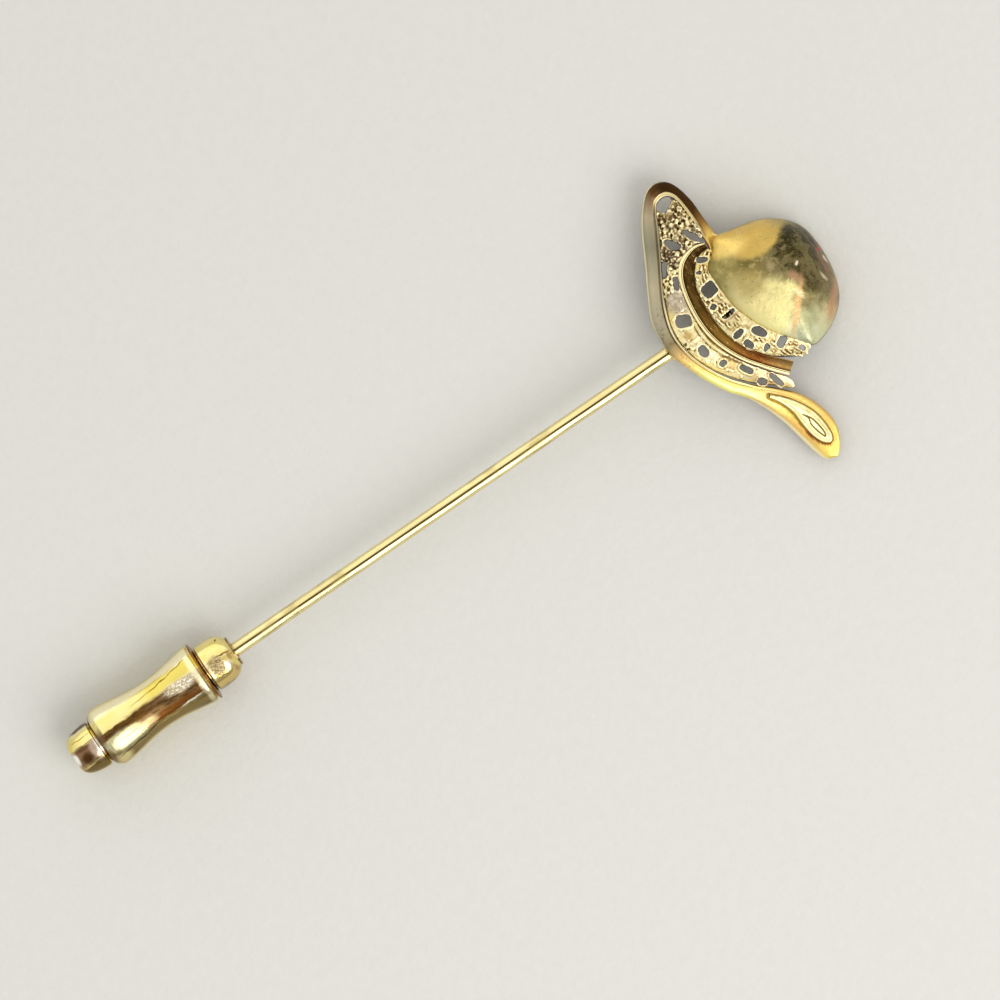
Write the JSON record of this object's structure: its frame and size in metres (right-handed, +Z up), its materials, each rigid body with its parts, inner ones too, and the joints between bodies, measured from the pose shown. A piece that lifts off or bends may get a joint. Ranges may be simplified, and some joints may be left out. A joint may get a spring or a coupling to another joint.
{
  "type": "stick pin with a picture-hat head",
  "caption": "Stick pin lying on its back: a cast openwork hat head on a straight wire stem, its point guarded by a waisted clutch that pulls off along the stem.",
  "frame": {"origin": "on the resting plane, under the middle of the pin's box", "axes": "+X along the stem from the clutch towards the crown, +Y to the left, +Z up off the resting plane"},
  "size_m": [0.0632, 0.023, 0.0053],
  "materials": {
    "hat_gold": "polished gold-tone plating, tarnished in patches, paler and grained on the pierced bands, brown on the ribbon",
    "gilt_wire": "drawn and plated wire, bright",
    "clutch_gold": "polished gold-tone plating, lightly pitted"
  },
  "bodies": {
    "pin": {"hat": "hat_gold", "stem": "gilt_wire"},
    "clutch": {"clutch_collar": "clutch_gold", "clutch_barrel": "clutch_gold"}
  },
  "joints": [
    {"name": "clutch_slide", "type": "slide", "parent": "pin", "child": "clutch", "axis": [-1, 0, -0.0074], "range_m": [0, 0.016]}
  ]
}
